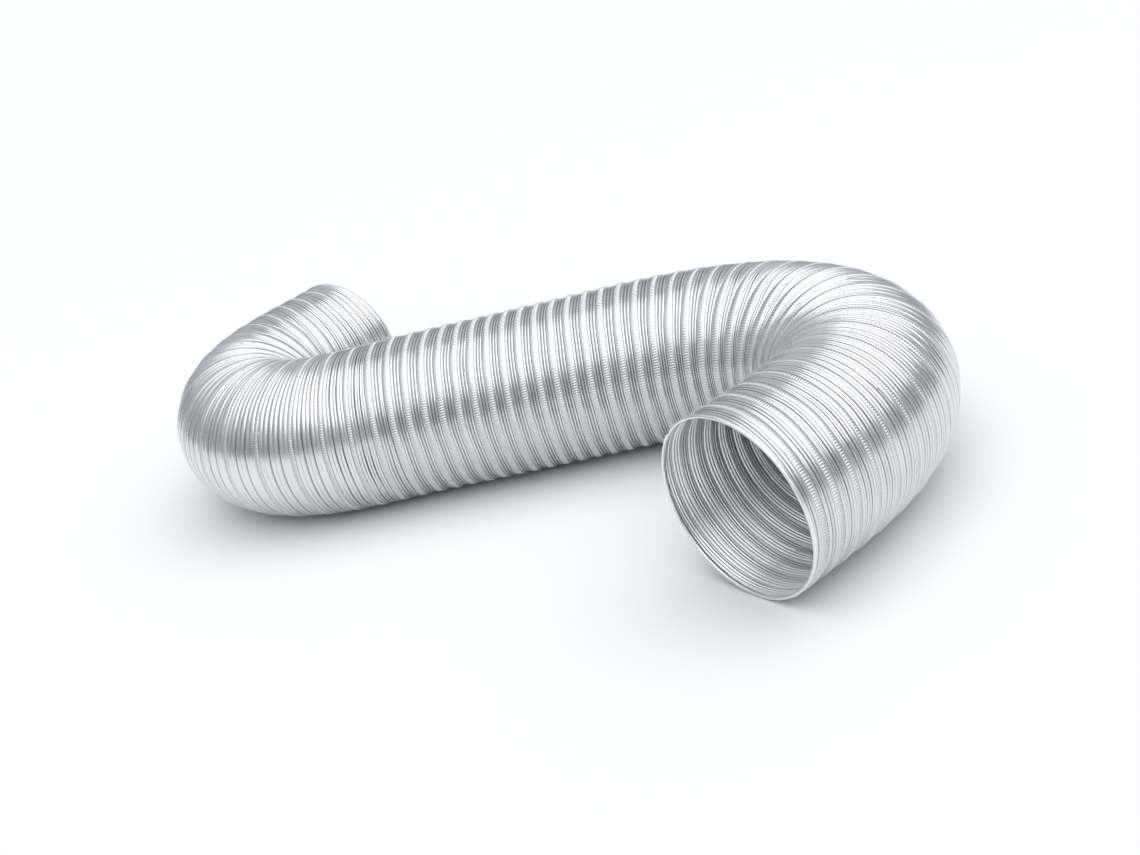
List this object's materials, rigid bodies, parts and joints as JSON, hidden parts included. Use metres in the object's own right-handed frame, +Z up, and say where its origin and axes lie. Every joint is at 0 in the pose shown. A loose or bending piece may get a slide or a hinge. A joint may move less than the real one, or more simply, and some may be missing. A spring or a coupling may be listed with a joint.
{
  "type": "flexible air duct",
  "caption": "Semi-rigid flexible aluminium air duct with a spiral lock seam and pleated wall, lying in an S and open at both ends; bends, lifts and stretches.",
  "frame": {"origin": "on the floor, under the middle of the duct's box", "axes": "+X along the middle run towards the near bend, +Z up; the near mouth faces -X -Y and the far mouth +X +Y"},
  "size_m": [0.5163, 0.4385, 0.104],
  "materials": {
    "lock_seam": "bright mill-finish foil, knurled along the seam",
    "pleats": "bright mill-finish foil in fine pleats",
    "hem": "bright folded edge"
  },
  "bodies": {
    "hoop_01": {"seam_hoop_01": "lock_seam", "near_hem": "hem"},
    "hoop_02": {"seam_hoop_02": "lock_seam", "pleat_band_01": "pleats"},
    "hoop_03": {"seam_hoop_03": "lock_seam", "pleat_band_02": "pleats"},
    "hoop_04": {"seam_hoop_04": "lock_seam", "pleat_band_03": "pleats"},
    "hoop_05": {"seam_hoop_05": "lock_seam", "pleat_band_04": "pleats"},
    "hoop_06": {"seam_hoop_06": "lock_seam", "pleat_band_05": "pleats"},
    "hoop_07": {"seam_hoop_07": "lock_seam", "pleat_band_06": "pleats"},
    "hoop_08": {"seam_hoop_08": "lock_seam", "pleat_band_07": "pleats"},
    "hoop_09": {"seam_hoop_09": "lock_seam", "pleat_band_08": "pleats"},
    "hoop_10": {"seam_hoop_10": "lock_seam", "pleat_band_09": "pleats"},
    "hoop_11": {"seam_hoop_11": "lock_seam", "pleat_band_10": "pleats"},
    "hoop_12": {"seam_hoop_12": "lock_seam", "pleat_band_11": "pleats"},
    "hoop_13": {"seam_hoop_13": "lock_seam", "pleat_band_12": "pleats"},
    "hoop_14": {"seam_hoop_14": "lock_seam", "pleat_band_13": "pleats", "pleat_band_14": "pleats"},
    "hoop_15": {"seam_hoop_15": "lock_seam", "pleat_band_15": "pleats"},
    "hoop_16": {"seam_hoop_16": "lock_seam", "pleat_band_16": "pleats"},
    "hoop_17": {"seam_hoop_17": "lock_seam", "pleat_band_17": "pleats"},
    "hoop_18": {"seam_hoop_18": "lock_seam", "pleat_band_18": "pleats"},
    "hoop_19": {"seam_hoop_19": "lock_seam", "pleat_band_19": "pleats"},
    "hoop_20": {"seam_hoop_20": "lock_seam", "pleat_band_20": "pleats"},
    "hoop_21": {"seam_hoop_21": "lock_seam", "pleat_band_21": "pleats"},
    "hoop_22": {"seam_hoop_22": "lock_seam", "pleat_band_22": "pleats"},
    "hoop_23": {"seam_hoop_23": "lock_seam", "pleat_band_23": "pleats"},
    "hoop_24": {"seam_hoop_24": "lock_seam", "far_hem": "hem"}
  },
  "joints": [
    {"name": "mid_stretch", "type": "slide", "parent": "hoop_14", "child": "hoop_13", "axis": [1, 0.0033, 0], "range_m": [-0.005, 0.014], "deforming": ["pleat_band_13"]},
    {"name": "mid_stretch_band_12", "type": "slide", "parent": "hoop_13", "child": "hoop_12", "axis": [0.9998, 0.0197, 0], "range_m": [-0.005, 0.014], "deforming": ["pleat_band_12"]},
    {"name": "mid_stretch_band_11", "type": "slide", "parent": "hoop_12", "child": "hoop_11", "axis": [1, 0.0033, 0], "range_m": [-0.005, 0.014], "deforming": ["pleat_band_11"]},
    {"name": "near_bend_band_10", "type": "hinge", "parent": "hoop_11", "child": "hoop_10", "pos_m": [0.08813, 0.03084, 0.052], "axis": [0, 0, 1], "range_deg": [-3, 14], "deforming": ["pleat_band_10"]},
    {"name": "near_bend_band_09", "type": "hinge", "parent": "hoop_10", "child": "hoop_09", "pos_m": [0.11969, 0.0265, 0.052], "axis": [0, 0, 1], "range_deg": [-3, 14], "deforming": ["pleat_band_09"]},
    {"name": "near_bend_band_08", "type": "hinge", "parent": "hoop_09", "child": "hoop_08", "pos_m": [0.14981, 0.01624, 0.052], "axis": [0, 0, 1], "range_deg": [-3, 14], "deforming": ["pleat_band_08"]},
    {"name": "near_bend", "type": "hinge", "parent": "hoop_08", "child": "hoop_07", "pos_m": [0.17629, -0.00133, 0.052], "axis": [0, 0, 1], "range_deg": [-3, 14], "deforming": ["pleat_band_07"]},
    {"name": "near_bend_band_06", "type": "hinge", "parent": "hoop_07", "child": "hoop_06", "pos_m": [0.19596, -0.02623, 0.052], "axis": [0, 0, 1], "range_deg": [-3, 14], "deforming": ["pleat_band_06"]},
    {"name": "near_bend_band_05", "type": "hinge", "parent": "hoop_06", "child": "hoop_05", "pos_m": [0.20568, -0.05641, 0.052], "axis": [0, 0, 1], "range_deg": [-3, 14], "deforming": ["pleat_band_05"]},
    {"name": "near_bend_band_04", "type": "hinge", "parent": "hoop_05", "child": "hoop_04", "pos_m": [0.20338, -0.08801, 0.052], "axis": [0, 0, 1], "range_deg": [-3, 14], "deforming": ["pleat_band_04"]},
    {"name": "near_lift", "type": "hinge", "parent": "hoop_04", "child": "hoop_03", "pos_m": [0.1906, -0.1171, 0.052], "axis": [-0.8532, 0.5216, 0], "range_deg": [0, 7], "deforming": ["pleat_band_03"]},
    {"name": "near_lift_band_02", "type": "hinge", "parent": "hoop_03", "child": "hoop_02", "pos_m": [0.17142, -0.14253, 0.052], "axis": [-0.7478, 0.6639, 0], "range_deg": [0, 7], "deforming": ["pleat_band_02"]},
    {"name": "near_lift_band_01", "type": "hinge", "parent": "hoop_02", "child": "hoop_01", "pos_m": [0.14917, -0.16535, 0.052], "axis": [-0.6942, 0.7198, 0], "range_deg": [0, 7], "deforming": ["pleat_band_01"]},
    {"name": "mid_stretch_band_14", "type": "slide", "parent": "hoop_14", "child": "hoop_15", "axis": [-1, 0.0098, 0], "range_m": [-0.005, 0.014], "deforming": ["pleat_band_14"]},
    {"name": "mid_stretch_band_15", "type": "slide", "parent": "hoop_15", "child": "hoop_16", "axis": [-0.9996, -0.0277, 0], "range_m": [-0.005, 0.014], "deforming": ["pleat_band_15"]},
    {"name": "mid_stretch_band_16", "type": "slide", "parent": "hoop_16", "child": "hoop_17", "axis": [-0.9992, -0.0395, 0], "range_m": [-0.005, 0.014], "deforming": ["pleat_band_16"]},
    {"name": "far_bend_band_17", "type": "hinge", "parent": "hoop_17", "child": "hoop_18", "pos_m": [-0.13495, 0.03033, 0.052], "axis": [0, 0, 1], "range_deg": [-3, 14], "deforming": ["pleat_band_17"]},
    {"name": "far_bend_band_18", "type": "hinge", "parent": "hoop_18", "child": "hoop_19", "pos_m": [-0.16529, 0.03963, 0.052], "axis": [0, 0, 1], "range_deg": [-3, 14], "deforming": ["pleat_band_18"]},
    {"name": "far_bend_band_19", "type": "hinge", "parent": "hoop_19", "child": "hoop_20", "pos_m": [-0.19007, 0.05936, 0.052], "axis": [0, 0, 1], "range_deg": [-3, 14], "deforming": ["pleat_band_19"]},
    {"name": "far_bend", "type": "hinge", "parent": "hoop_20", "child": "hoop_21", "pos_m": [-0.20427, 0.0876, 0.052], "axis": [0, 0, 1], "range_deg": [-3, 14], "deforming": ["pleat_band_20"]},
    {"name": "far_bend_band_21", "type": "hinge", "parent": "hoop_21", "child": "hoop_22", "pos_m": [-0.20482, 0.11923, 0.052], "axis": [0, 0, 1], "range_deg": [-3, 14], "deforming": ["pleat_band_21"]},
    {"name": "far_bend_band_22", "type": "hinge", "parent": "hoop_22", "child": "hoop_23", "pos_m": [-0.19232, 0.14833, 0.052], "axis": [0, 0, 1], "range_deg": [-3, 14], "deforming": ["pleat_band_22"]},
    {"name": "far_bend_band_23", "type": "hinge", "parent": "hoop_23", "child": "hoop_24", "pos_m": [-0.1725, 0.17329, 0.052], "axis": [0, 0, 1], "range_deg": [-3, 14], "deforming": ["pleat_band_23"]}
  ],
  "couplings": [
    {"joint": "mid_stretch_band_12", "follows": "mid_stretch", "ratio": 1},
    {"joint": "mid_stretch_band_11", "follows": "mid_stretch", "ratio": 1},
    {"joint": "near_bend_band_10", "follows": "near_bend", "ratio": 1},
    {"joint": "near_bend_band_09", "follows": "near_bend", "ratio": 1},
    {"joint": "near_bend_band_08", "follows": "near_bend", "ratio": 1},
    {"joint": "near_bend_band_06", "follows": "near_bend", "ratio": 1},
    {"joint": "near_bend_band_05", "follows": "near_bend", "ratio": 1},
    {"joint": "near_bend_band_04", "follows": "near_bend", "ratio": 1},
    {"joint": "near_lift_band_02", "follows": "near_lift", "ratio": 1},
    {"joint": "near_lift_band_01", "follows": "near_lift", "ratio": 1},
    {"joint": "mid_stretch_band_14", "follows": "mid_stretch", "ratio": 1},
    {"joint": "mid_stretch_band_15", "follows": "mid_stretch", "ratio": 1},
    {"joint": "mid_stretch_band_16", "follows": "mid_stretch", "ratio": 1},
    {"joint": "far_bend_band_17", "follows": "far_bend", "ratio": 1},
    {"joint": "far_bend_band_18", "follows": "far_bend", "ratio": 1},
    {"joint": "far_bend_band_19", "follows": "far_bend", "ratio": 1},
    {"joint": "far_bend_band_21", "follows": "far_bend", "ratio": 1},
    {"joint": "far_bend_band_22", "follows": "far_bend", "ratio": 1},
    {"joint": "far_bend_band_23", "follows": "far_bend", "ratio": 1}
  ]
}
